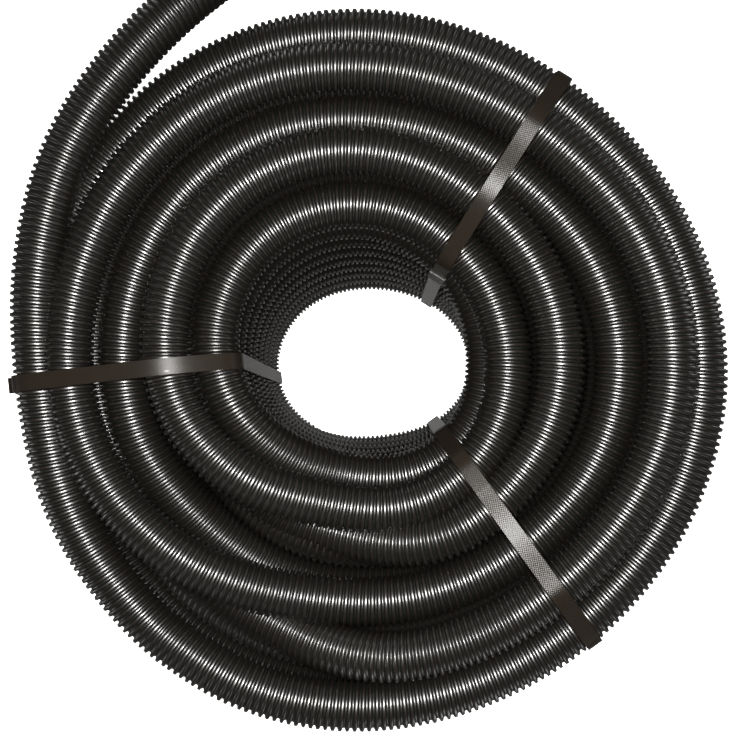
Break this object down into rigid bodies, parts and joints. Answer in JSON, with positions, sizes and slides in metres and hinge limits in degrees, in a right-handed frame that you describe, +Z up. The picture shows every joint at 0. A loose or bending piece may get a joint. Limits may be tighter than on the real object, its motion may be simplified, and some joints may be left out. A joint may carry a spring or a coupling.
{
  "type": "vacuum hose",
  "caption": "Corrugated flexible suction hose wound into a flat round roll and held by woven straps, with a plain cuff on its inner end and a swivel cuff on its free end.",
  "frame": {"origin": "on the floor, on the axis of the roll's outermost layer", "axes": "+Z up along the roll's axis; +X the way the free end's swivel cuff points"},
  "size_m": [0.8063, 0.7873, 0.3462],
  "materials": {
    "hose": "glossy",
    "strap_tape": "woven satin",
    "seal_steel": "satin",
    "cuff": "satin",
    "ring_plastic": "satin",
    "seal_rubber": "matte"
  },
  "bodies": {
    "roll": {"hose_coil": "hose", "hose_tail": "hose", "strap_a": "strap_tape", "strap_b": "strap_tape", "strap_c": "strap_tape", "strap_seal_a": "seal_steel", "strap_seal_b": "seal_steel", "strap_seal_c": "seal_steel", "swivel_sleeve": "cuff", "fixed_cuff": "cuff"},
    "swivel": {"swivel_cuff": "cuff", "swivel_ring": "ring_plastic", "swivel_oring": "seal_rubber"}
  },
  "joints": [
    {"name": "swivel_cuff_spin", "type": "hinge", "parent": "roll", "child": "swivel", "pos_m": [0.44, 0.482, 0.0264], "axis": [1, 0, 0], "continuous": true}
  ]
}
